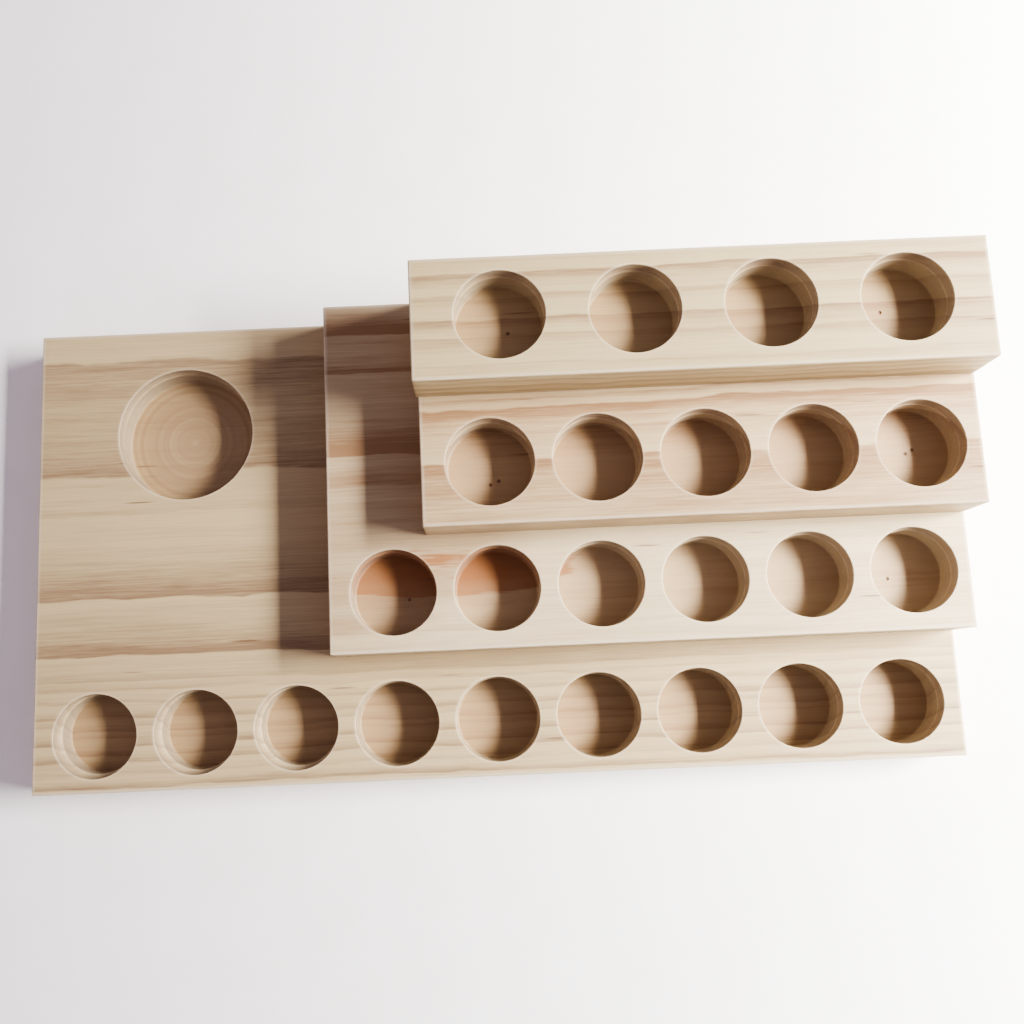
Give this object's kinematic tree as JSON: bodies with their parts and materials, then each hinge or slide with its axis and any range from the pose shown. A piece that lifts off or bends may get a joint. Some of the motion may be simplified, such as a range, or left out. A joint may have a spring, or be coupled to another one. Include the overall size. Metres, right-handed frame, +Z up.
{
  "type": "stepped paint pot rack",
  "caption": "Free-standing stepped rack of stacked pine boards, with blind round pockets that hold paint pots upright and one wide pocket for a water pot.",
  "frame": {"origin": "centre of the underside's bounding rectangle", "axes": "+X to the right along the rows of pockets, +Y from the low front step to the high back step, +Z up"},
  "size_m": [0.4, 0.205, 0.08],
  "materials": {
    "base_pine": "matte",
    "second_pine": "matte",
    "third_pine": "matte",
    "top_pine": "matte",
    "brad_steel": "satin"
  },
  "bodies": {
    "root": {"base_board": "base_pine", "second_board": "second_pine", "third_board": "third_pine", "top_board": "top_pine", "second_board_nails": "brad_steel", "third_board_nails": "brad_steel", "top_board_nails": "brad_steel"}
  },
  "joints": []
}
